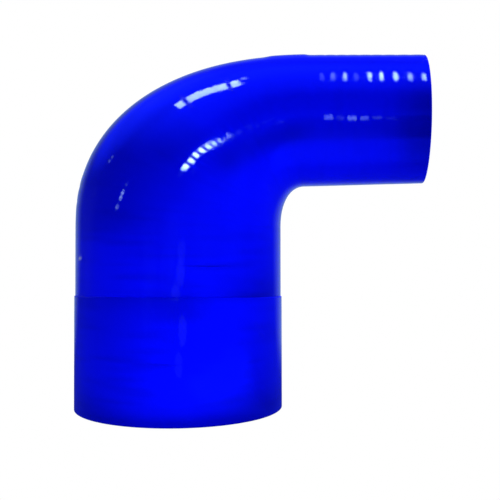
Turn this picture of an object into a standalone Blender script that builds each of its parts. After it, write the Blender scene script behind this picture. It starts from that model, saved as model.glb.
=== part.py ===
"""A right-angled reducing elbow hose in moulded silicone rubber, standing on its large end.

Metres, +Z up. The large leg rises from the floor, the bend turns towards +X while the hose
narrows, and the small leg leaves along +X. The hose is one piece with a through bore, cut square
at both ends, and it is symmetric about the XZ plane.

The hose is a loft of circles. Along the legs they are level with the ends. Through the bend
their planes fan about one level line, the pivot, which lies under the inside of the corner.
"""

from math import cos, pi, radians, sin
from typing import NamedTuple

import bmesh
import bpy
from mathutils import Matrix, Vector

# Bores and wall
LARGE_BORE = 0.080  # inside diameter at the large end
SMALL_BORE = 0.045  # inside diameter at the small end
WALL = 0.0043  # four plies of coated fabric

# Large leg, from its cut end up to the bend
CUFF_LENGTH = 0.0475  # covered by one more outer ply
CUFF_PLY = 0.0004  # how far that ply stands proud
LARGE_PLAIN_LENGTH = 0.0295  # from the ply's edge to the bend
LARGE_TAPER = 0.0025  # radius lost per length, going up to the bend

# Small leg, from the bend to its cut end
SMALL_LENGTH = 0.050
SMALL_TAPER = 0.020  # radius lost per length, going out to the end

# Inside corner of the bend, measured from the pivot
THROAT_RUN = 0.0105  # across to the large leg's wall
THROAT_RISE = 0.018  # up to the small leg's wall
SQUARENESS = 2.25  # 2 bends like an ellipse, and more fills the corner out

# Facets
SEGMENTS = 64
BEND_STEPS = 20
SHARP_ANGLE = radians(30)

BLUE = (0.0, 0.008, 0.85, 1.0)
ROUGHNESS = 0.22
COAT = 0.35
COAT_ROUGHNESS = 0.08

# Worked out from the sizes above
LARGE_LENGTH = CUFF_LENGTH + LARGE_PLAIN_LENGTH
LARGE_END_RADIUS = LARGE_BORE / 2 + WALL
SMALL_END_RADIUS = SMALL_BORE / 2 + WALL
LARGE_BEND_RADIUS = LARGE_END_RADIUS - LARGE_TAPER * LARGE_LENGTH
SMALL_BEND_RADIUS = SMALL_END_RADIUS + SMALL_TAPER * SMALL_LENGTH
PIVOT = Vector((LARGE_BEND_RADIUS + THROAT_RUN, 0, LARGE_LENGTH))
SMALL_AXIS_HEIGHT = PIVOT.z + THROAT_RISE + SMALL_BEND_RADIUS
SMALL_END_X = PIVOT.x + SMALL_LENGTH


class Station(NamedTuple):
    """A place along the hose: its centre, the way to the bend's outer side, and the outer radius."""

    centre: Vector
    outward: Vector
    radius: float


def clear_scene():
    for obj in list(bpy.data.objects):
        bpy.data.objects.remove(obj, do_unlink=True)


def corner_distance(run, rise, turn):
    """Distance from the pivot, at an angle, to a superellipse quarter with half axes run and rise."""
    share = (cos(turn) / run) ** SQUARENESS + (sin(turn) / rise) ** SQUARENESS
    return share ** (-1 / SQUARENESS)


def large_leg_station(height):
    """A level circle of the large leg, which narrows a little towards the bend."""
    radius = LARGE_END_RADIUS - LARGE_TAPER * height
    return Station(Vector((0, 0, height)), Vector((-1, 0, 0)), radius)


def bend_station(turn):
    """The circle that spans the throat and the heel in one plane through the pivot."""
    throat = corner_distance(THROAT_RUN, THROAT_RISE, turn)
    heel_run = THROAT_RUN + 2 * LARGE_BEND_RADIUS
    heel_rise = THROAT_RISE + 2 * SMALL_BEND_RADIUS
    heel = corner_distance(heel_run, heel_rise, turn)
    outward = Vector((-cos(turn), 0, sin(turn)))
    centre = PIVOT + outward * (throat + heel) / 2
    return Station(centre, outward, (heel - throat) / 2)


def small_end_station():
    centre = Vector((SMALL_END_X, 0, SMALL_AXIS_HEIGHT))
    return Station(centre, Vector((0, 0, 1)), SMALL_END_RADIUS)


def add_ring(mesh, station, radius):
    """A circle in the station's plane, returned as its corners in order from the bend's outer side."""
    across = Vector((0, -1, 0))
    along = station.outward.cross(across)
    facing = Matrix((station.outward, across, along)).transposed().to_4x4()
    ring = bmesh.ops.create_circle(
        mesh,
        segments=SEGMENTS,
        radius=radius,
        matrix=Matrix.Translation(station.centre) @ facing,
    )
    return ring["verts"]


def bridge(mesh, ring, following):
    """A band of four-sided faces between two rings, corner to matching corner."""
    ring_ahead = ring[1:] + ring[:1]
    following_ahead = following[1:] + following[:1]
    for corners in zip(ring, ring_ahead, following_ahead, following):
        mesh.faces.new(corners)


def outer_rings(mesh, bend):
    """The skin's rings from the large end to the small one, with the cuff ply's bevelled edge."""
    ply_top = large_leg_station(CUFF_LENGTH)
    ply_foot = large_leg_station(CUFF_LENGTH + CUFF_PLY)
    covered = [large_leg_station(0), ply_top]
    bare = [ply_foot, *bend, small_end_station()]
    rings = [add_ring(mesh, station, station.radius + CUFF_PLY) for station in covered]
    return rings + [add_ring(mesh, station, station.radius) for station in bare]


def bore_rings(mesh, bend):
    """The bore's rings, which run back from the small end to the large one."""
    stations = [small_end_station(), *reversed(bend), large_leg_station(0)]
    return [add_ring(mesh, station, station.radius - WALL) for station in stations]


def silicone_material():
    material = bpy.data.materials.new("blue silicone rubber")
    material.use_nodes = True
    material.diffuse_color = BLUE
    shader = material.node_tree.nodes["Principled BSDF"]
    shader.inputs["Base Color"].default_value = BLUE
    shader.inputs["Metallic"].default_value = 0.0
    shader.inputs["Roughness"].default_value = ROUGHNESS
    shader.inputs["Coat Weight"].default_value = COAT
    shader.inputs["Coat Roughness"].default_value = COAT_ROUGHNESS
    return material


def elbow_hose():
    """One closed wall: skin and bore are bridged ring by ring, and each cut end is a flat annulus."""
    mesh = bmesh.new()
    turns = [pi / 2 * step / BEND_STEPS for step in range(BEND_STEPS + 1)]
    bend = [bend_station(turn) for turn in turns]
    rings = outer_rings(mesh, bend) + bore_rings(mesh, bend)
    for ring, following in zip(rings, rings[1:] + rings[:1]):
        bridge(mesh, ring, following)
    bmesh.ops.recalc_face_normals(mesh, faces=mesh.faces)

    data = bpy.data.meshes.new("elbow_hose")
    mesh.to_mesh(data)
    mesh.free()
    data.shade_smooth()
    data.set_sharp_from_angle(angle=SHARP_ANGLE)
    data.materials.append(silicone_material())

    # The mesh is centred on the large end, and the object stands with its box over the origin
    hose = bpy.data.objects.new("elbow_hose", data)
    hose.location.x = (LARGE_END_RADIUS + CUFF_PLY - SMALL_END_X) / 2
    return hose


def main():
    clear_scene()
    collection = bpy.data.collections.new("silicone elbow hose")
    bpy.context.scene.collection.children.link(collection)
    collection.objects.link(elbow_hose())


main()
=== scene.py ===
# %% [markdown]
# # A silicone elbow hose, dressed for a photograph
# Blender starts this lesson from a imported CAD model: a right-angled reducing elbow, one solid, which
# stands on its large end. The CAD solid has the true sizes but plain facets. This script lays a finer
# skin over it, with the marks that the making of such a hose leaves, and then lights it as for a
# catalogue. Every length is in metres, +Z is up, and the floor is at zero.

from math import cos, pi, radians, sin, tan

import bpy
import numpy as np
from mathutils import Matrix, Vector


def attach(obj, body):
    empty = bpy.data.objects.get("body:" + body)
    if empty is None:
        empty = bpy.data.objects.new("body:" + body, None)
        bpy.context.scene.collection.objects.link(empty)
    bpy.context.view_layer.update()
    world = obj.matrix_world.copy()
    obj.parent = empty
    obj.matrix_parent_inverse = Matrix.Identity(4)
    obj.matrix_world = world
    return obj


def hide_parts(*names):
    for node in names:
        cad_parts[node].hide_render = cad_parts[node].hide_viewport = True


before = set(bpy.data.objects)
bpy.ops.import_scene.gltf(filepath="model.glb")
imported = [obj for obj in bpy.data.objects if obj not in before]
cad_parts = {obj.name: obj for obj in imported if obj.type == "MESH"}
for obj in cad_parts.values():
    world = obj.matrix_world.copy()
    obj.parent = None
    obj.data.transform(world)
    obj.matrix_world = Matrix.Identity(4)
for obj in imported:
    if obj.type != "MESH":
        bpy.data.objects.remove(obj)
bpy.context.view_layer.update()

# %% [markdown]
# ## The sizes
# The hose's own sizes come first, because all of the skin is worked out from them. They are the
# sizes of the CAD solid: two bores, one wall, a large leg that rises, a small leg that leaves
# towards +X, and between them a bend whose inside and outside corners are quarter superellipses.

# %% Sizes of the hose
LARGE_BORE = 0.080
SMALL_BORE = 0.045
WALL = 0.0043
CUFF_LENGTH = 0.0475
CUFF_PLY = 0.0004
LARGE_LENGTH = 0.077
LARGE_TAPER = 0.0025
SMALL_LENGTH = 0.050
SMALL_TAPER = 0.020
THROAT_RUN = 0.0105
THROAT_RISE = 0.018
SQUARENESS = 2.25

LARGE_END_RADIUS = LARGE_BORE / 2 + WALL
SMALL_END_RADIUS = SMALL_BORE / 2 + WALL
LARGE_BEND_RADIUS = LARGE_END_RADIUS - LARGE_TAPER * LARGE_LENGTH
SMALL_BEND_RADIUS = SMALL_END_RADIUS + SMALL_TAPER * SMALL_LENGTH
# The box of the CAD solid is centred on the origin, so the large leg's axis is to the left of it
PIVOT_FROM_AXIS = LARGE_BEND_RADIUS + THROAT_RUN
AXIS_X = (LARGE_END_RADIUS + CUFF_PLY - PIVOT_FROM_AXIS - SMALL_LENGTH) / 2
PIVOT_X = AXIS_X + PIVOT_FROM_AXIS
SMALL_END_X = PIVOT_X + SMALL_LENGTH
SMALL_AXIS_Z = LARGE_LENGTH + THROAT_RISE + SMALL_BEND_RADIUS
print("small leg's axis at", round(SMALL_AXIS_Z, 4), "and its cut end at", round(SMALL_END_X, 4))

# %% [markdown]
# ## The sections
# A hose is a row of circles. On the two legs the circles are level with the cut ends. In the bend
# their planes fan about one line, the pivot, under the inside corner. Each circle needs three
# things: its centre, the direction to the bend's outer side, and its radius. Numpy works them out
# for a whole array of places at once, so no loop walks along the hose.


# %% Circles of the legs and the bend
def large_leg(heights):
    """Level circles: the centre rises with the height, and the radius shrinks in step with it."""
    centres = np.stack([np.full_like(heights, AXIS_X), np.zeros_like(heights), heights], axis=1)
    outward = np.tile([-1.0, 0.0, 0.0], (len(heights), 1))
    return centres, outward, LARGE_END_RADIUS - LARGE_TAPER * heights


def corner_distance(run, rise, turns):
    """A superellipse's distance from its centre: (cos/run)^n + (sin/rise)^n, to the power -1/n."""
    share = (np.cos(turns) / run) ** SQUARENESS + (np.sin(turns) / rise) ** SQUARENESS
    return share ** (-1 / SQUARENESS)


def bend(turns):
    """Circles in planes through the pivot: each spans from the throat's curve to the heel's."""
    throat = corner_distance(THROAT_RUN, THROAT_RISE, turns)
    heel_run = THROAT_RUN + 2 * LARGE_BEND_RADIUS
    heel_rise = THROAT_RISE + 2 * SMALL_BEND_RADIUS
    heel = corner_distance(heel_run, heel_rise, turns)
    outward = np.stack([-np.cos(turns), np.zeros_like(turns), np.sin(turns)], axis=1)
    pivot = np.array([PIVOT_X, 0.0, LARGE_LENGTH])
    centres = pivot + outward * ((throat + heel) / 2)[:, None]
    return centres, outward, (heel - throat) / 2


def small_leg(runs):
    """Upright circles: the centre moves along +X with the run, and the radius shrinks with it."""
    level = np.full_like(runs, SMALL_AXIS_Z)
    centres = np.stack([PIVOT_X + runs, np.zeros_like(runs), level], axis=1)
    outward = np.tile([0.0, 0.0, 1.0], (len(runs), 1))
    return centres, outward, SMALL_BEND_RADIUS - SMALL_TAPER * runs


# %% [markdown]
# ## Where the rows lie
# A glossy surface shows every facet in its highlights, so the rows are close together. They are
# closest at the edge of the outer ply and at the folds, where the surface turns within half a
# millimetre. The helper turns a wish for the gap at each place into the places themselves: it adds
# up one over the gap, and reads off where the sum reaches each whole number.


# %% Rows along the hose
def spaced(start, end, gap, spots=()):
    """Places from start to end, gap apart, and closer by each spot (place, reach, finer gap)."""
    fine = np.linspace(start, end, 8001)
    gaps = np.full_like(fine, gap)
    for place, reach, finer in spots:
        near = np.exp(-(((fine - place) / reach) ** 2))
        gaps = np.minimum(gaps, gap + (finer - gap) * near)
    middles = (1 / gaps[1:] + 1 / gaps[:-1]) / 2
    count = np.concatenate([[0], np.cumsum(middles * np.diff(fine))])
    return np.interp(np.linspace(0, count[-1], int(np.ceil(count[-1])) + 1), count, fine)


RIM = 0.0003  # radius of the rounded edges of the two cuts
FOLD_HEIGHTS = (0.0240, 0.0607)  # faint folds on the inside of the large leg
STEP_MIDDLE = CUFF_LENGTH + CUFF_PLY / 2
PLY_STEP = 0.00012  # the height over which the ply's edge falls away
LARGE_GAP = 0.0011
SMALL_GAP = 0.0004
TURN_GAP = 0.0050  # in the bend, in radians
ply_rows = [(STEP_MIDDLE, 0.0005, 0.00004)]
fold_rows = [(height, 0.0012, 0.0001) for height in FOLD_HEIGHTS]
heights = spaced(RIM, LARGE_LENGTH, LARGE_GAP, ply_rows + fold_rows)
turns = spaced(0.0, pi / 2, TURN_GAP)
runs = spaced(0.0, SMALL_LENGTH - RIM, SMALL_GAP)

parts = [large_leg(heights), bend(turns[1:-1]), small_leg(runs)]
centres, outward, radii = (np.concatenate(arrays) for arrays in zip(*parts))
steps = np.linalg.norm(np.diff(centres, axis=0), axis=1)
along = heights[0] + np.concatenate([[0], np.cumsum(steps)])
BEND_START = LARGE_LENGTH
BEND_END = along[-len(runs)]
HOSE_LENGTH = along[-1] + RIM
print(len(centres), "rows; centre line", round(float(HOSE_LENGTH), 4))
print("bend", BEND_START, "to", round(float(BEND_END), 4), "along it")

# %% [markdown]
# ## The marks of the mandrel shop
# Such a hose is laid up by hand. Plies of coated fabric go round a bent mandrel, narrow tape is
# wound over them under tension, and the whole is cured. The tape comes off afterwards and leaves
# its turns printed in the skin as a row of low, convex bands with thin grooves between them. One
# more ply over the large end stops in a small step. All of this is relief on the radius: a part of
# a millimetre for each point of the grid, added to the plain circle. Three helpers shape it: one for
# a reach round the hose, one for a stretch along it, and one for a narrow bell along it.

# %% Angles round the hose
COLUMNS = 160
angles = 2 * pi * np.arange(COLUMNS) / COLUMNS
cosines, sines = np.cos(angles), np.sin(angles)


def smooth(values, low, high):
    """0 below low, 1 above high, and the cubic 3t^2 - 2t^3 between them."""
    share = np.clip((values - low) / (high - low), 0, 1)
    return share * share * (3 - 2 * share)


def around(centre, reach):
    """1 at an angle round the hose and 0 beyond its reach on both sides, in degrees."""
    distance = np.abs((np.degrees(angles) - centre + 180) % 360 - 180)
    return 1 - smooth(distance, 0, reach)


def stretch(start, end, fade_in, fade_out=None):
    """1 from start to end along the hose, fading to 0 before the start and beyond the end."""
    fade_out = fade_out or fade_in
    return smooth(along, start - fade_in, start) * (1 - smooth(along, end, end + fade_out))


def bell(middle, width, power=2):
    """exp(-(distance / width)^power) along the hose. A power of 4 has a flat top."""
    return np.exp(-(((along - middle) / width) ** power))


# %% Turns of the tape
SEED = 7
rng = np.random.default_rng(SEED)
BEND_TURN = 0.0036
LARGE_LEG_TURN = 0.0052
UNEVEN = 0.15  # how far a turn's width is off, as a share
# Middles of the turns on the small leg, along the hose: the tape was laid unevenly there
LEG_TURNS = np.array([0.1636, 0.1680, 0.1728, 0.1772, 0.1827, 0.1871, 0.1927, 0.1986, 0.2038])
# Edges of the turns on the front of the bend
BEAD_ENDS = np.array([0.1006, 0.1039, 0.1070, 0.1100, 0.1131, 0.1159, 0.1185, 0.1226, 0.1264, 0.1309])
SLIP_FROM = radians(60)  # the angle round the hose at which the edges and middles above are true
PAST_END = 0.006  # the last turn ran on over the mandrel

LEG_DEPTH = 0.000012
LEG_DEPTH_GAIN = 0.00001  # more of it towards the bend
BEND_DEPTH = 0.000005
SMALL_DEPTH = 0.000020
TOP_DEPTH = 0.000090  # more of it along the top of the small leg
HEEL_DEPTH = 0.00010  # more of it on the outer side, where the bend starts
DRIFT = 0.2
DRIFT_RATE = 90  # radians per metre


def laid_evenly(start, end, width):
    """Edges about a turn's width apart, each a little off, stretched to end where they should."""
    steps = rng.uniform(1 - UNEVEN, 1 + UNEVEN, int(round((end - start) / width)))
    return start + (end - start) * np.cumsum(steps) / steps.sum()


def tape_edges():
    """The grooves' places along the centre line, with those of the small leg between its turns."""
    leg = (LEG_TURNS[1:] + LEG_TURNS[:-1]) / 2
    leg = np.concatenate([[2 * leg[0] - leg[1]], leg, [2 * leg[-1] - leg[-2], HOSE_LENGTH + PAST_END]])
    large = laid_evenly(0.0, BEND_START - 0.004, LARGE_LEG_TURN)
    lower = laid_evenly(large[-1], BEAD_ENDS[0], BEND_TURN)[:-1]
    upper = laid_evenly(BEAD_ENDS[-1], leg[0], BEND_TURN)[:-1]
    return np.concatenate([[0.0], large, lower, BEAD_ENDS, upper, leg])


def tape_height():
    """Convex bands: 4f(1-f) over each turn's fraction f, which slips by one turn round the hose."""
    edges = tape_edges()
    slip = (angles - SLIP_FROM) / (2 * pi)
    turn = np.interp(along, edges, np.arange(len(edges)))[:, None] - slip[None]
    fraction = turn % 1
    return 4 * fraction * (1 - fraction)


def tape_depth():
    """How deep the bands are: faint on the large leg and the bend, and deeper on the small leg."""
    leg = LEG_DEPTH + LEG_DEPTH_GAIN * smooth(along, 0.055, BEND_START)
    on_bend = smooth(along, BEND_START - 0.008, BEND_START + 0.006)
    on_leg = smooth(along, BEND_END - 0.002, BEND_END + 0.012)
    small = SMALL_DEPTH + TOP_DEPTH * around(0, 50)
    depth = (leg * (1 - on_bend) + BEND_DEPTH * on_bend)[:, None] * (1 - on_leg[:, None])
    depth = depth + small[None] * on_leg[:, None]
    heel = stretch(0.084, 0.088, 0.006, 0.004)
    depth = depth + HEEL_DEPTH * heel[:, None] * around(8, 40)[None]
    return depth * (1 + DRIFT * np.sin(2 * angles[None] + DRIFT_RATE * along[:, None]))


relief = tape_height() * tape_depth()
print("tape bands stand up to", round(float(relief.max()) * 1000, 3), "mm")

# %% [markdown]
# A silicone skin is never quite round. The hand that smooths the plies leaves shallow hollows a
# few centimetres wide, and they are what makes a long highlight wander. A sum of a few slow waves
# with seeded phases gives them. Each has a whole number of waves round the hose, so they close.

# %% Hollows of the hand lay-up
WAVES = 9
WAVE_HEIGHT = 0.00001
WAVE_LENGTHS = (0.018, 0.06)


def slow_waves():
    """A sum of sines in the angle (1 to 5 whole waves) and in the distance along the hose."""
    counts = rng.integers(1, 6, WAVES)
    lengths = rng.uniform(*WAVE_LENGTHS, WAVES)
    phases = rng.uniform(0, 2 * pi, WAVES)
    turning = counts[:, None, None] * angles[None, None]
    running = 2 * pi * along[None, :, None] / lengths[:, None, None]
    return np.sin(turning + running + phases[:, None, None]).sum(axis=0) * WAVE_HEIGHT / np.sqrt(WAVES)


relief = relief + slow_waves()

# %% [markdown]
# The outer ply was trimmed by hand, so its edge leans: it is a little higher at the front than at
# the back. Instead of cutting across the rows, the rows themselves lean with it, and the lean
# fades away above and below. The step then stays on the same few rows all the way round.

# %% The outer ply and its leaning edge
PLY_LEAN = 0.0018
LEAN_WIDTH = 0.014
STRAIGHT_BELOW = 0.02  # the lean has to be gone at the cut end
lean_share = bell(CUFF_LENGTH, LEAN_WIDTH) * (along < BEND_START)
lean_share = lean_share * smooth(along, 0.0, STRAIGHT_BELOW)
lean = PLY_LEAN * lean_share[:, None] * sines[None]
step_up = 1 - smooth(along, STEP_MIDDLE - PLY_STEP / 2, STEP_MIDDLE + PLY_STEP / 2)
relief = relief + CUFF_PLY * step_up[:, None]
print("ply edge leans by", round(float(np.ptp(lean)) * 1000, 2), "mm")

# %% [markdown]
# Two folds press into the inside of the large leg, where the plies had too much cloth for the
# bend, and a lapped patch stands proud on top of the small leg. Each is a shape along the hose
# times a soft window round it. The shape is a bell for a fold, and a soft-ended stretch for the patch.

# %% Folds and the lap
FOLD_DEPTH = 0.00010
FOLD_WIDTH = 0.00025
fold_windows = (0.4 * around(92, 14), around(114, 17))
folds = np.zeros_like(relief)
for height, window in zip(FOLD_HEIGHTS, fold_windows):
    folds += bell(height, FOLD_WIDTH)[:, None] * window[None]
relief = relief - FOLD_DEPTH * folds

LAP_HEIGHT = 0.00032
LAP_ENDS = (0.0165, 0.0242)  # X of the two ends of its full height
LAP_FADE = 0.003
lap_from, lap_to = (BEND_END - PIVOT_X + x for x in LAP_ENDS)
lap = stretch(lap_from, lap_to, LAP_FADE)
relief = relief + LAP_HEIGHT * lap[:, None] * around(16, 14)[None]
lowest, highest = (round(float(value) * 1000, 3) for value in (relief.min(), relief.max()))
print("relief from", lowest, "to", highest, "mm")

# %% [markdown]
# The colour is not quite even either. Where the outer ply ends, painted shade darkens the blue below the
# edge on the left and front, and above it on the right, and it fades away from the edge. Painted shade
# darkens a few soft places more: the end and the lower front of the small leg, the left and the lower
# front of the bend, and patches on the cuff and at its foot. The blue is also deeper in faint streaks
# round the hose. The folds are painted as dark lines, painted shade in their creases, and a rub on the
# outer side has left one pale scuff. Where two turns of tape parted, a thin ring of rubber stayed dull,
# and such rings cut a long highlight into beads. Each mark is a number from 0 to 1 on the same grid as
# the relief. They are kept on the mesh as one colour attribute: red for the deeper blue and the painted
# shade, green for the scuff and blue for what is dull.

# %% Marks and painted shade in the colour
EDGE_FADE = 0.010
STREAK_GAP = 0.0018
STREAK_WAVES = 7
STREAK_SHADE = 0.16
STREAK_SHADE_LOST = 0.12  # from the bend on
# painted shade in the creases of the two folds
FOLD_PAINTED_SHADE = 0.5


def streaks():
    """0 to 1 in thin rings: each has its own sum of waves round the hose, and rings blend along it."""
    places = np.arange(0, HOSE_LENGTH + STREAK_GAP, STREAK_GAP)
    counts = np.arange(1, STREAK_WAVES + 1)
    waves = np.concatenate([np.cos(counts[:, None] * angles), np.sin(counts[:, None] * angles)])
    rings = rng.normal(size=(len(places), len(waves))) @ waves / np.sqrt(STREAK_WAVES)
    share = np.clip(along / STREAK_GAP, 0, len(places) - 1.001)
    lower = share.astype(int)
    part = (share - lower)[:, None]
    return smooth(rings[lower] * (1 - part) + rings[lower + 1] * part, -0.6, 2.2)


streak_depth = STREAK_SHADE - STREAK_SHADE_LOST * smooth(along, BEND_START - 0.004, BEND_START + 0.008)
# Painted shade below the ply's edge, above it, and at the end of the small leg, each fading away
below = np.clip(CUFF_LENGTH - along, 0, None)
above = np.clip(along - CUFF_LENGTH, 0, None)
shade_under_edge = np.exp(-below / EDGE_FADE) * (along < STEP_MIDDLE)
shade_over_edge = np.exp(-above / EDGE_FADE) * (along >= STEP_MIDDLE)
shade_at_leg_end = smooth(along, HOSE_LENGTH - 0.020, HOSE_LENGTH)

# Places of painted shade: share along the hose, angle and reach round it in degrees, depth of the colour
painted_shade_places = [
    (shade_under_edge, 68, 64, 0.42),
    (shade_over_edge, 150, 40, 0.52),
    (shade_at_leg_end, 98, 60, 0.55),
    (stretch(0.080, 0.102, 0.012, 0.022), 58, 56, 0.34),
    (stretch(0.118, 0.148, 0.016), 109, 15, 0.34),
    (stretch(0.160, 0.192, 0.014), 106, 16, 0.17),
    (stretch(0.202, 0.212, 0.012), 126, 26, 0.22),
    (stretch(0.104, 0.113, 0.008), 82, 16, 0.14),
    (stretch(0.000, 0.005, 0.010), 150, 50, 0.26),
    (stretch(0.000, 0.006, 0.010), 50, 34, 0.20),
    (stretch(0.018, 0.034, 0.012), 62, 34, 0.12),
    (stretch(0.041, 0.0475, 0.004), 100, 24, 0.18),
]
# Red mark: the deeper blue of the streaks, plus painted shade in the folds and at the places above
streaks_and_painted_shade = FOLD_PAINTED_SHADE * folds + streak_depth[:, None] * streaks()
for share, angle, reach, depth in painted_shade_places:
    streaks_and_painted_shade = streaks_and_painted_shade + depth * share[:, None] * around(angle, reach)[None]

SCUFF_HEIGHT, SCUFF_WIDTH = 0.064, 0.0006
SCUFF_ANGLE, SCUFF_REACH = 34, 4
scuff = bell(SCUFF_HEIGHT, SCUFF_WIDTH)[:, None] * around(SCUFF_ANGLE, SCUFF_REACH)[None]

# Where two turns of tape parted: places along the hose, the angle round it and the reach
PARTED = [
    ((0.1207, 0.1339), 60, 14),
    ((*BEAD_ENDS[1:], 0.1209, 0.1350, 0.1382), 96, 14),
    ((0.1687, 0.1728, 0.1780, 0.1828), 97, 14),
]
PARTED_WIDTH = 0.00072
PLY_EDGE_WIDTH = 0.0003
dull = bell(STEP_MIDDLE, PLY_EDGE_WIDTH)[:, None]
for places, angle, reach in PARTED:
    rings = sum(bell(place, PARTED_WIDTH, 4) for place in places)
    dull = dull + rings[:, None] * around(angle, reach)[None]
marks_and_painted_shade = np.stack([np.clip(streaks_and_painted_shade, 0, 1), scuff, np.clip(dull, 0, 1)], axis=-1)
print("deepest mark", round(float(streaks_and_painted_shade.max()), 2))

# %% [markdown]
# ## One closed grid
# The wall is a ring in two ways: round the hose, and along a section from the skin over the small
# cut, back through the bore and over the large cut to the skin again. So the whole hose is a single
# grid whose rows and columns both close, and it has no seam, no pole and no open edge. The cuts are
# square, with edges rounded just enough to catch the light.


# %% Grids of the skin, the bore and the cuts
EDGE_ROWS = 5  # on each rounded edge, and on each flat
BORE_GAP = 0.006
BORE_TURN_GAP = 0.05


def ring_points(centre, direction, radius, lift=0.0):
    """Centre plus radius times (cosine outward + sine across), where across is towards -Y."""
    across = np.array([0.0, -1.0, 0.0])
    spokes = cosines[None, :, None] * direction[:, None] + sines[None, :, None] * across
    points = centre[:, None] + np.atleast_2d(radius)[..., None] * spokes
    points[..., 2] += lift
    return points


def cut_profile(outer, inner):
    """From skin to bore over a cut: a rounded edge, the flat, a rounded edge, as (radius, inset)."""
    edge = np.linspace(0, pi / 2, EDGE_ROWS)
    flat = np.linspace(outer - RIM, inner + RIM, EDGE_ROWS)[1:-1]
    radius = [outer - RIM + RIM * np.cos(edge), flat, inner + RIM - RIM * np.sin(edge)]
    inset = [RIM - RIM * np.sin(edge), np.zeros(len(flat)), RIM - RIM * np.cos(edge)]
    return np.concatenate(radius), np.concatenate(inset)


skin = ring_points(centres, outward, radii[:, None] + relief, lean)

small_radius, small_inset = cut_profile(SMALL_END_RADIUS, SMALL_BORE / 2)
small_centres = np.tile([SMALL_END_X, 0.0, SMALL_AXIS_Z], (len(small_radius), 1))
small_centres[:, 0] -= small_inset
up = np.tile([0.0, 0.0, 1.0], (len(small_radius), 1))
edge_relief = np.linspace(1, 0, len(small_radius))[:, None] * relief[-1][None]
small_cut = ring_points(small_centres, up, small_radius[:, None] + edge_relief)

bore_turns = spaced(0, pi / 2, BORE_TURN_GAP)
bore_places = [large_leg(spaced(2 * RIM, LARGE_LENGTH, BORE_GAP)), bend(bore_turns[1:-1])]
bore_places.append(small_leg(spaced(0, SMALL_LENGTH - 2 * RIM, BORE_GAP)))
bore_centres, bore_outward, bore_radii = (np.concatenate(arrays)[::-1] for arrays in zip(*bore_places))
bore = ring_points(bore_centres, bore_outward, bore_radii[:, None] - WALL)

large_radius, large_inset = cut_profile(LARGE_END_RADIUS + CUFF_PLY, LARGE_BORE / 2)
large_centres = np.tile([AXIS_X, 0.0, 0.0], (len(large_radius), 1))
large_centres[:, 2] += large_inset
left = np.tile([-1.0, 0.0, 0.0], (len(large_radius), 1))
edge_relief = np.linspace(1, 0, len(large_radius))[:, None] * (relief[0] - CUFF_PLY)[None]
large_cut = ring_points(large_centres, left, large_radius[:, None] + edge_relief)[::-1]

grid = np.concatenate([skin, small_cut[1:], bore, large_cut[:-1]])
print("grid of", grid.shape[0], "rows and", grid.shape[1], "columns")

# %% [markdown]
# The grid becomes a mesh in one step: corner numbers are worked out for all the faces as arrays,
# and foreach_set copies them in. Each face joins four neighbours of the grid, in the order that
# turns its front outwards. The same numbers give the UV map, whose U runs along the section and
# whose V runs round the hose. Both fill the square from 0 to 1 once, so a pattern with a whole
# number of repeats closes on itself.

# %% From grid to mesh
SKIN_FINISH, CUT_FINISH, BORE_FINISH = range(3)


def closed_grid_mesh(name, points, row_finish, marks_and_painted_shade):
    """Quads (i, j), (i, j+1), (i+1, j+1), (i+1, j), with both directions wrapping round."""
    rows, columns = points.shape[:2]
    i, j = (index.ravel() for index in np.meshgrid(np.arange(rows), np.arange(columns), indexing="ij"))
    row = np.stack([i, i, i + 1, i + 1], axis=1)
    column = np.stack([j, j + 1, j + 1, j], axis=1)
    corners = (row % rows) * columns + column % columns

    mesh = bpy.data.meshes.new(name)
    mesh.vertices.add(rows * columns)
    mesh.vertices.foreach_set("co", points.ravel())
    mesh.loops.add(corners.size)
    mesh.loops.foreach_set("vertex_index", corners.ravel())
    mesh.polygons.add(len(corners))
    mesh.polygons.foreach_set("loop_start", np.arange(len(corners)) * 4)
    mesh.polygons.foreach_set("loop_total", np.full(len(corners), 4))
    mesh.polygons.foreach_set("material_index", row_finish[i])
    mesh.polygons.foreach_set("use_smooth", np.ones(len(corners), bool))

    colours = np.zeros((rows * columns, 4))
    colours[: marks_and_painted_shade.shape[0] * columns, :3] = marks_and_painted_shade.reshape(-1, 3)
    mesh.color_attributes.new("marks_and_painted_shade", "FLOAT_COLOR", "POINT").data.foreach_set("color", colours.ravel())

    uv = np.stack([row / rows, column / columns], axis=2)
    mesh.uv_layers.new(name="hose_uv").data.foreach_set("uv", uv.ravel())
    mesh.update(calc_edges=True)
    mesh.validate()
    return mesh


def signed_volume(mesh):
    """The sum over triangles of a . (b x c) / 6, which is positive when the faces point outwards."""
    mesh.calc_loop_triangles()
    points = np.empty(len(mesh.vertices) * 3)
    mesh.vertices.foreach_get("co", points)
    triangles = np.empty(len(mesh.loop_triangles) * 3, int)
    mesh.loop_triangles.foreach_get("vertices", triangles)
    a, b, c = points.reshape(-1, 3)[triangles.reshape(-1, 3)].transpose(1, 0, 2)
    return float(np.einsum("ij,ij->i", a, np.cross(b, c)).sum() / 6)


row_finish = np.full(len(grid), SKIN_FINISH)
small_cut_at = len(skin) - 1
bore_at = len(skin) + len(small_cut) - 1
row_finish[small_cut_at:bore_at] = CUT_FINISH
row_finish[bore_at : bore_at + len(bore)] = BORE_FINISH
row_finish[bore_at + len(bore) :] = CUT_FINISH
hose_mesh = closed_grid_mesh("hose_skin", grid, row_finish, marks_and_painted_shade)
hose = bpy.data.objects.new("hose_skin", hose_mesh)
bpy.context.scene.collection.objects.link(hose)
cubic_centimetres = signed_volume(hose_mesh) * 1e6
print(len(hose_mesh.loop_triangles), "triangles,", round(cubic_centimetres, 2), "cubic centimetres")

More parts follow.
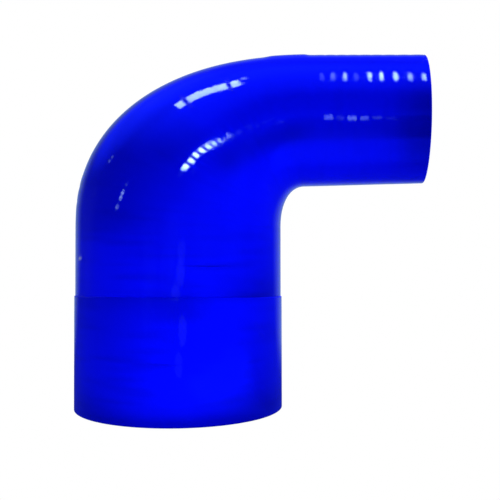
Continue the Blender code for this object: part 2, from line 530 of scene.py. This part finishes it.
# %% [markdown]
# ## Silicone that looks like silicone
# Cured silicone is a deep, even colour with a wet gloss. The colour comes from pigment inside, the
# gloss from a very smooth skin over it. In the Principled shader the pigment is the base colour.
# The gloss over it is tinted blue, so white surroundings don't grey the colour. A thin clear coat on
# top leaves a near-white mark where a bright lamp is reflected, and nowhere else.

# %% A small kit for node trees
BLUE = (0.0, 0.001, 0.80, 1.0)
DEEP_BLUE = (0.0, 0.001, 0.70, 1.0)
# The blue of the streaks and of the painted shade
STREAK_AND_PAINTED_SHADE_BLUE = (0.0, 0.0005, 0.10, 1.0)
PALE = (0.35, 0.40, 0.45, 1.0)


class Nodes:
    """A node tree with short calls to add nodes and to join sockets."""

    def __init__(self, tree):
        self.nodes, self.links = tree.nodes, tree.links

    def put(self, socket, value):
        if isinstance(value, bpy.types.NodeSocket):
            self.links.new(value, socket)
        else:
            socket.default_value = value

    def add(self, kind, sockets=(), **settings):
        node = self.nodes.new("ShaderNode" + kind)
        for name, value in settings.items():
            setattr(node, name, value)
        for socket, value in dict(sockets).items():
            self.put(node.inputs[socket], value)
        return node

    def math(self, operation, first, second=0.0):
        return self.add("Math", {0: first, 1: second}, operation=operation).outputs[0]

    def mix(self, share, first, second):
        """The first colour where the share is 0, and the second where it is 1."""
        return self.add("Mix", {0: share, 6: first, 7: second}, data_type="RGBA").outputs[2]

    def noise(self, place, scale, detail):
        return self.add("TexNoise", {"Vector": place, "Scale": scale, "Detail": detail}).outputs["Fac"]


class Rubber(Nodes):
    """A new material and its Principled shader."""

    def __init__(self, name):
        self.material = bpy.data.materials.new(name)
        self.material.use_nodes = True
        super().__init__(self.material.node_tree)
        self.shader = self.nodes["Principled BSDF"]
        self.place = self.add("TexCoord").outputs["Object"]

    def finish(self, **sockets):
        for name, value in sockets.items():
            self.put(self.shader.inputs[name.replace("_", " ")], value)


# %% [markdown]
# The plies are woven, and the tape presses the weave through the rubber. It shows only in the
# highlights, as fine slanting lines about a millimetre apart on the small leg. Two families of lines
# cross, one stronger than the other. They are sines of the UV map, with a whole number of threads
# round the hose, and they go into the bump, because they are far finer than the grid. The coat is a
# little thinner between the threads, and it is missing on the dull rings.

# %% The glossy skin
THREADS_AROUND = 128
THREAD_PITCH = 0.0018  # the mean over the whole section, skin and bore
WEAK_THREADS = 0.35
GRAIN_SHARE = 0.8
COAT_BETWEEN_THREADS, COAT_ON_THREADS = 0.38, 0.56
GLOSS = 0.5
GLOSS_LOST = 0.48  # on the dull rings
ROUGHNESS_ADDED = 0.30  # on the dull rings


def thread_lines(tree, u, v, lean_sign):
    """The sine of 2 pi times (rows along, as thread pitches, plus or minus threads round)."""
    turns_along = tree.math("MULTIPLY", u, 2 * pi * 2 * HOSE_LENGTH / THREAD_PITCH)
    turns_round = tree.math("MULTIPLY", v, 2 * pi * THREADS_AROUND * lean_sign)
    return tree.math("SINE", tree.math("ADD", turns_along, turns_round))


def skin_material():
    tree = Rubber("blue_silicone_skin")
    uv = tree.add("UVMap", uv_map="hose_uv").outputs["UV"]
    split = tree.add("SeparateXYZ", {0: uv}).outputs
    strong = thread_lines(tree, split["X"], split["Y"], 1)
    weak = thread_lines(tree, split["X"], split["Y"], -1)
    weave = tree.math("ADD", strong, tree.math("MULTIPLY", weak, WEAK_THREADS))
    grain = tree.math("MULTIPLY", tree.noise(tree.place, 900.0, 3.0), GRAIN_SHARE)
    height = tree.math("ADD", weave, grain)
    bump = tree.add("Bump", {"Height": height, "Strength": 0.25, "Distance": 0.000008}).outputs[0]

    marks_and_painted_shade = tree.add("Attribute", attribute_name="marks_and_painted_shade").outputs["Color"]
    streaks_and_painted_shade, scuff, dull = tree.add("SeparateColor", {0: marks_and_painted_shade}).outputs
    colour = tree.mix(tree.noise(tree.place, 60.0, 4.0), BLUE, DEEP_BLUE)
    # The red mark mixes in the streaks' deeper blue and the painted shade, and the green mark the pale
    # scuff
    colour = tree.mix(scuff, tree.mix(streaks_and_painted_shade, colour, STREAK_AND_PAINTED_SHADE_BLUE), PALE)

    sheen = tree.noise(tree.place, 25.0, 2.0)
    roughness = tree.add("MapRange", {"Value": sheen, "To Min": 0.05, "To Max": 0.08}).outputs[0]
    roughness = tree.math("ADD", roughness, tree.math("MULTIPLY", dull, ROUGHNESS_ADDED))
    gloss = tree.math("SUBTRACT", GLOSS, tree.math("MULTIPLY", dull, GLOSS_LOST))
    limits = {"From Min": -1.0, "To Min": COAT_BETWEEN_THREADS, "To Max": COAT_ON_THREADS}
    coat = tree.add("MapRange", {"Value": weave, **limits}).outputs[0]
    coat = tree.math("MULTIPLY", coat, tree.math("SUBTRACT", 1.0, dull))

    tree.finish(Base_Color=colour, Roughness=roughness, Normal=bump, Coat_Normal=bump)
    tree.finish(IOR=1.45, Specular_IOR_Level=gloss, Specular_Tint=(0.0, 0.03, 1.0, 1.0))
    tree.finish(Coat_Weight=coat, Coat_Roughness=0.03, Coat_IOR=1.5)
    return tree.material


# %% [markdown]
# A cut end is sawn and ground, so it is matt and a shade paler, with fine grain. The bore was
# pressed against the metal mandrel and came away satin smooth. Both are the same rubber.

# %% The cut ends and the bore
DARKER = (0.0, 0.7, 0.75, 1.0)


def plain_rubber(name, colour, roughness, grain_scale, grain_height):
    tree = Rubber(name)
    grain = tree.noise(tree.place, grain_scale, 5.0)
    bump = tree.add("Bump", {"Height": grain, "Strength": 0.7, "Distance": grain_height}).outputs[0]
    darker = [part * share for part, share in zip(colour, DARKER)]
    tree.finish(Base_Color=tree.mix(grain, colour, darker), Roughness=roughness, Normal=bump)
    tree.finish(Specular_Tint=(0.1, 0.2, 1.0, 1.0), Specular_IOR_Level=0.3)
    return tree.material


cut_material = plain_rubber("blue_silicone_cut", (0.0, 0.008, 0.66, 1.0), 0.6, 1400.0, 0.00004)
bore_material = plain_rubber("blue_silicone_bore", (0.0, 0.004, 0.60, 1.0), 0.38, 500.0, 0.00001)
for material in (skin_material(), cut_material, bore_material):
    hose_mesh.materials.append(material)
print("finishes:", [material.name for material in hose_mesh.materials])

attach(hose, "root")
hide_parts("elbow_hose")

# %% [markdown]
# ## The camera
# The photograph was taken from close by, so the perspective is strong. The camera stands a third of
# a metre in front of the hose, turned a little to the left, just under the middle of its height.

# %% Camera
CAMERA_PLACE = (0.030418, -0.331294, 0.066434)
CAMERA_YAW = 0.08852
CAMERA_PITCH = 0.00364
LENS = 55.40

camera_data = bpy.data.cameras.new("camera")
camera_data.lens = LENS
camera_data.sensor_width = 36.0
camera_data.clip_start = 0.01
camera = bpy.data.objects.new("camera", camera_data)
camera.location = CAMERA_PLACE
camera.rotation_euler = (pi / 2 + CAMERA_PITCH, 0, CAMERA_YAW)
bpy.context.scene.collection.objects.link(camera)
bpy.context.scene.camera = camera
bpy.context.scene.view_settings.view_transform = "Standard"

# %% [markdown]
# ## Light
# A catalogue photographer lights gloss and colour apart. Large soft lamps shape the colour and are
# kept out of the reflections. Small bright lamps are there only to be reflected, and each lays one
# highlight on the skin. In Cycles the ray visibility of a lamp does the same: a lamp can be hidden
# from diffuse rays or from glossy rays.


# %% Lamps
WHITE = (1.0, 1.0, 1.0)
DAYLIGHT = (0.70, 1.0, 0.80)


def turned(back, width_way):
    """The rotation that has its Z axis along back, and its X axis as near the width's way as it can."""
    height_way = back.cross(width_way).normalized()
    return Matrix((height_way.cross(back), height_way, back)).transposed().to_euler()


def lamp(name, place, aim, size, radiance, is_gloss, beam=180, width_way=(1, 0, 0), shape="RECTANGLE"):
    """A flat lamp that faces a point. It is seen in the gloss alone, or shapes the colour alone."""
    data = bpy.data.lights.new(name, "AREA")
    data.shape = shape
    data.size, data.size_y = size
    # A grid makes the lamp brighter ahead by t / (t - h), where h is half the beam and t its tangent
    half_beam = radians(beam) / 2
    grid_share = 1 - half_beam / tan(half_beam) if beam < 180 else 1
    area = size[0] * size[1] * (pi / 4 if shape == "ELLIPSE" else 1)
    data.energy = radiance * area * pi * grid_share
    data.color = DAYLIGHT if is_gloss else WHITE
    data.spread = radians(beam)
    obj = bpy.data.objects.new(name, data)
    obj.location = place
    obj.rotation_euler = turned((Vector(place) - Vector(aim)).normalized(), Vector(width_way))
    obj.visible_camera = False
    obj.visible_diffuse = not is_gloss
    obj.visible_glossy = is_gloss
    obj.visible_transmission = False
    bpy.context.scene.collection.objects.link(obj)


def towards(aim, azimuth, elevation, distance):
    """The point at a distance from the aim. Azimuth 0 is towards -Y and 90 towards +X."""
    swing, rise = radians(azimuth), radians(elevation)
    direction = Vector((sin(swing) * cos(rise), -cos(swing) * cos(rise), sin(rise)))
    return Vector(aim) + direction * distance


MIDDLE = (0.0, 0.0, 0.08)
SOFT_SIZE = (0.3, 0.3)
SOFT_DISTANCE = 0.8  # from the middle of the hose
# Azimuth, elevation and radiance of the soft lamps
SOFT_LAMPS = {
    "soft_right": (52, 52, 12.4),
    "soft_left": (-105, 6, 6.1),
    "soft_back_left": (-135, 52, 2.6),
    "soft_back_right": (140, 52, 33.0),
}
for name, (azimuth, elevation, radiance) in SOFT_LAMPS.items():
    place = towards(MIDDLE, azimuth, elevation, SOFT_DISTANCE)
    lamp(name, place, MIDDLE, SOFT_SIZE, radiance, False)

# Cards that lie on the floor and throw light up: place, size and radiance
CARDS = {
    "card_front": ((0.04, -0.16, 0.002), 0.15, 0.4),
    "card_middle": ((0.02, -0.09, 0.002), 0.08, 2.8),
    "card_left": ((-0.06, -0.09, 0.002), 0.08, 1.45),
    "card_right": ((0.36, 0.10, 0.002), 0.15, 48.0),
}
for name, (place, side, radiance) in CARDS.items():
    overhead = (place[0], place[1], 1.0)
    lamp(name, place, overhead, (side, side), radiance, False)

# Small lamps with a grid in front: aim, azimuth, elevation, distance, size, radiance and beam
NEAR_LAMPS = {
    "near_cuff": ((-0.020, -0.03, 0.042), 0, 3, 0.28, (0.10, 0.06), 8.0, 60),
    "near_left": ((-0.04, -0.04, 0.05), -20, 0, 0.30, (0.08, 0.08), 20.0, 40),
    "near_right": ((0.0, -0.03, 0.055), 35, 0, 0.30, (0.10, 0.10), 2.0, 50),
    "near_under": ((0.03, -0.02, 0.10), 10, -28, 0.12, (0.05, 0.04), 11.5, 60),
}
for name, (aim, azimuth, elevation, distance, size, radiance, beam) in NEAR_LAMPS.items():
    lamp(name, towards(aim, azimuth, elevation, distance), aim, size, radiance, False, beam)

# %% [markdown]
# The bright lamps are small and near the skin, and each one is there for a single glint. A mirror
# decides where such a lamp must stand: the ray of sight leaves the skin at the angle at which it came.
# So the place of the glint comes first, as a distance along the hose and an angle round it, and the
# lamp's own place follows. Its size follows too: the rays of sight that leave the four edges of the
# wanted glint meet the lamp's plane at the four edges of the lamp.

# %% Lamps for the highlights
GLINT_DISTANCE = 0.06
SMALL_STEP = 0.0005
PLAIN_SKIN = np.concatenate([centres, outward, radii[:, None]], axis=1).T


def skin_place(place, angle):
    """The plain skin's point at a distance along the hose and an angle round it, in degrees."""
    values = [float(np.interp(place, along, row)) for row in PLAIN_SKIN]
    spoke = cos(radians(angle)) * Vector(values[3:6]) + sin(radians(angle)) * Vector((0, -1, 0))
    return Vector(values[:3]) + values[6] * spoke


def reflection(place, angle):
    """The skin's point and the way the ray of sight leaves it: v - 2 (v . n) n, for a normal n."""
    point = skin_place(place, angle)
    lengthwise = skin_place(place + SMALL_STEP, angle) - skin_place(place - SMALL_STEP, angle)
    crosswise = skin_place(place, angle + 1) - skin_place(place, angle - 1)
    sight = (point - Vector(CAMERA_PLACE)).normalized()
    return point, sight.reflect(lengthwise.cross(crosswise).normalized())


def glint(name, place, angle, length, height, radiance, shape, beam):
    """A lamp whose mirror image has a length along the hose and a height round it, in degrees."""
    point, way = reflection(place, angle)
    centre = point + way * GLINT_DISTANCE

    def seen(place, angle):
        """Where the ray of sight that leaves this place meets the lamp's plane."""
        start, direction = reflection(place, angle)
        return start + direction * (centre - start).dot(way) / direction.dot(way)

    width_way = seen(place + length / 2, angle) - seen(place - length / 2, angle)
    height_way = seen(place, angle + height / 2) - seen(place, angle - height / 2)
    # On a bent skin the two ways are askew. The singular values are the axes of the ellipse they span
    across = width_way.normalized()
    upright = way.cross(across)
    spans = [[width_way.length, height_way.dot(across)], [0.0, height_way.dot(upright)]]
    turn, size, _ = np.linalg.svd(spans)
    long_way = across * turn[0, 0] + upright * turn[1, 0]
    lamp(name, centre, point, size.tolist(), radiance, True, beam, long_way, shape)


# Shape and beam of each group of glints. Then, for each: place along the hose, angle round it,
# length, height in degrees, and radiance
GLINTS = {
    "high": ("RECTANGLE", 80, [
        (0.1190, 60.5, 0.0024, 5.6, 17), (0.1221, 59.8, 0.0028, 6.0, 15),
        (0.1247, 59.2, 0.0027, 6.0, 16), (0.1274, 59.2, 0.0027, 6.0, 17),
        (0.1300, 59.3, 0.0027, 6.2, 16), (0.1326, 59.6, 0.0028, 6.4, 18),
        (0.1356, 59.5, 0.0030, 6.2, 21), (0.1387, 56.0, 0.0012, 2.5, 6),
    ]),
    "row": ("ELLIPSE", 60, [
        (0.1022, 94.5, 0.0025, 3.4, 76), (0.1055, 95.0, 0.0027, 3.9, 76),
        (0.1084, 94.5, 0.0027, 3.8, 74), (0.1115, 94.5, 0.0028, 3.9, 74),
        (0.1145, 95.0, 0.0028, 4.1, 78), (0.1172, 96.0, 0.0023, 3.8, 64),
    ]),
    "row_end": ("ELLIPSE", 16, [
        (0.1199, 96.5, 0.0012, 4.0, 46), (0.1218, 96.5, 0.0012, 4.0, 54),
        (0.1243, 98.0, 0.0014, 3.0, 4.5), (0.1285, 97.5, 0.0018, 3.4, 4.0),
        (0.1333, 97.5, 0.0016, 3.4, 2.2), (0.1364, 97.5, 0.0012, 3.0, 1.3),
        (0.1399, 96.5, 0.0012, 3.0, 1.4), (0.0987, 94.5, 0.0014, 2.0, 0.8),
        (0.1022, 99.0, 0.0007, 1.4, 2.5),
    ]),
    "bar": ("ELLIPSE", 80, [
        (0.1636, 60.6, 0.0008, 9, 4), (0.1680, 60.6, 0.0009, 10, 12),
        (0.1728, 60.6, 0.0010, 11, 34), (0.1772, 61.0, 0.0008, 9, 5),
        (0.1827, 60.6, 0.0012, 11, 46), (0.1871, 60.6, 0.0012, 11, 48),
        (0.1927, 60.6, 0.0014, 11, 46), (0.1986, 61.0, 0.0010, 9, 38),
        (0.2038, 61.2, 0.0011, 9, 40),
    ]),
    "spot": ("ELLIPSE", 40, [
        (0.1668, 96.4, 0.0014, 4.6, 12), (0.1707, 97.0, 0.0012, 4.0, 2.4),
        (0.1756, 97.5, 0.0020, 4.6, 10), (0.1803, 97.5, 0.0020, 4.2, 6.5),
        (0.1847, 97.0, 0.0012, 3.0, 3.0), (0.1911, 98.0, 0.0012, 3.4, 0.8),
    ]),
    "dot": ("ELLIPSE", 16, [
        (0.0868, 69.0, 0.0013, 2.0, 9), (0.0852, 68.5, 0.0013, 2.0, 9),
        (0.0824, 67.0, 0.0013, 2.0, 5), (0.0895, 70.0, 0.0010, 1.6, 1.6),
        (0.0960, 53.0, 0.0009, 2.0, 0.9), (0.0947, 52.5, 0.0009, 2.0, 1.0),
    ]),
    "streak": ("ELLIPSE", 80, [
        (0.0671, 101.5, 0.0080, 4.0, 0.14), (0.0590, 101.0, 0.0100, 4.2, 0.24),
        (0.0515, 98.5, 0.0070, 4.4, 0.22), (0.0372, 102.0, 0.0120, 4.0, 0.22),
        (0.0237, 100.0, 0.0100, 4.0, 0.15),
    ]),
}
for group, (shape, beam, glints) in GLINTS.items():
    for number, sizes in enumerate(glints):
        glint(f"{group}_{number}", *sizes, shape, beam)
print({group: len(glints) for group, (_, _, glints) in GLINTS.items()}, "glints")

# %% [markdown]
# The floor and the surroundings are plain white to the camera. What they send to the hose is set
# apart from what the camera sees of them, with the Light Path node, so the backdrop can be pure
# white and still not flood the blue with light. In the gloss the surroundings are a dim room with
# a bright ceiling, made of a few soft round patches of sky. The floor has one bright patch, in
# front of the small leg. The white backdrop behind the hose shows in the gloss at its rims alone,
# where the ray of sight grazes the skin. It is one more soft patch, in the air and on the floor.


# %% Floor and surroundings
class Shade(Nodes):
    """Node sums for a light's colour: soft patches, and one colour for each kind of ray."""

    def __init__(self, tree):
        super().__init__(tree)
        self.path = self.add("LightPath").outputs

    def soft_step(self, value, start, end):
        """0 where the value is at the start, 1 at the end, and smooth between."""
        sockets = {"Value": value, "From Min": start, "From Max": end}
        return self.add("MapRange", sockets, interpolation_type="SMOOTHSTEP").outputs[0]

    def patch(self, direction, azimuth, elevation, reach):
        """1 in that direction and 0 beyond the reach, from the dot product of two unit vectors."""
        middle = towards((0, 0, 0), azimuth, elevation, 1.0)
        dot = self.add("VectorMath", {0: direction, 1: middle}, operation="DOT_PRODUCT")
        return self.soft_step(dot.outputs["Value"], cos(radians(reach)), 1.0)

    def pick(self, ray, otherwise, value):
        """One colour for that kind of ray and the other colour for the rest."""
        pair = [(*shade, 1.0) if isinstance(shade, tuple) else shade for shade in (otherwise, value)]
        return self.mix(self.path[ray], *pair)

    def glow(self, dim, tint, amount):
        """The dim colour plus the tint times an amount."""
        sockets = {0: amount, 1: tint, 2: dim}
        return self.add("VectorMath", sockets, operation="MULTIPLY_ADD").outputs[0]


GLOSS_DIM = (0.015, 0.025, 0.30)
GLOSS_TINT = (0.005, 0.02, 1.0)
FILL = (0.25, 0.25, 0.25)
# Azimuth, elevation, reach and strength of the soft patches of sky
SKY_PATCHES = [
    (30, 70, 40, 3.4),
    (-30, 70, 38, 2.2),
    (-90, 68, 35, 2.4),
    (-120, 45, 30, 2.5),
    (180, 68, 35, 0.8),
    (30, 0, 25, 1.2),
    (65, 0, 25, 1.0),
    (6, -2, 15, 1.0),
]
BACKDROP_PLACE = (187, 0, 52)  # azimuth, elevation and reach
BACKDROP_COLOUR = (0.19, 0.29, 0.27)

world = bpy.data.worlds.new("white surroundings")
world.use_nodes = True
air = Shade(world.node_tree)
direction = air.add("TexCoord").outputs["Generated"]
brightness = 0.0
for *place, strength in SKY_PATCHES:
    brightness = air.math("ADD", brightness, air.math("MULTIPLY", air.patch(direction, *place), strength))
gloss = air.glow(GLOSS_DIM, BACKDROP_COLOUR, air.patch(direction, *BACKDROP_PLACE))
gloss = air.glow(gloss, GLOSS_TINT, brightness)
colour = air.pick("Is Camera Ray", air.pick("Is Glossy Ray", FILL, gloss), WHITE)
air.put(air.nodes["Background"].inputs["Color"], colour)
bpy.context.scene.world = world

FLOOR_HALF = 3.0
# Where the bright patch of the floor starts and where it is full, from each side
PATCH_EDGES = {"X": ((0.0, 0.03), (0.30, 0.12)), "Y": ((-0.175, -0.135), (0.0, -0.05))}
PATCH_STRENGTH = 2.7
BEHIND = (0.05, 0.30)  # the Y from which the backdrop shows on the floor, and where it is full

floor_mesh = bpy.data.meshes.new("floor")
corners = [(x * FLOOR_HALF, y * FLOOR_HALF, 0) for x, y in ((-1, -1), (1, -1), (1, 1), (-1, 1))]
floor_mesh.from_pydata(corners, [], [(0, 1, 2, 3)])
floor = bpy.data.objects.new("floor", floor_mesh)
bpy.context.scene.collection.objects.link(floor)
floor_material = bpy.data.materials.new("white floor")
floor_material.use_nodes = True
floor_material.node_tree.nodes.clear()
ground = Shade(floor_material.node_tree)
position = ground.add("TexCoord").outputs["Object"]
split = ground.add("SeparateXYZ", {0: position}).outputs
outwards = ground.add("VectorMath", {0: position}, operation="NORMALIZE").outputs["Vector"]
patch = PATCH_STRENGTH
for axis, edges in PATCH_EDGES.items():
    for edge in edges:
        patch = ground.math("MULTIPLY", ground.soft_step(split[axis], *edge), patch)
behind = ground.patch(outwards, *BACKDROP_PLACE)
behind = ground.math("MULTIPLY", behind, ground.soft_step(split["Y"], *BEHIND))
gloss = ground.glow(GLOSS_DIM, BACKDROP_COLOUR, behind)
gloss = ground.glow(gloss, GLOSS_TINT, patch)
colour = ground.pick("Is Camera Ray", ground.pick("Is Glossy Ray", FILL, gloss), WHITE)
emission = ground.add("Emission", {"Color": colour}).outputs[0]
ground.add("OutputMaterial", {"Surface": emission})
floor_mesh.materials.append(floor_material)
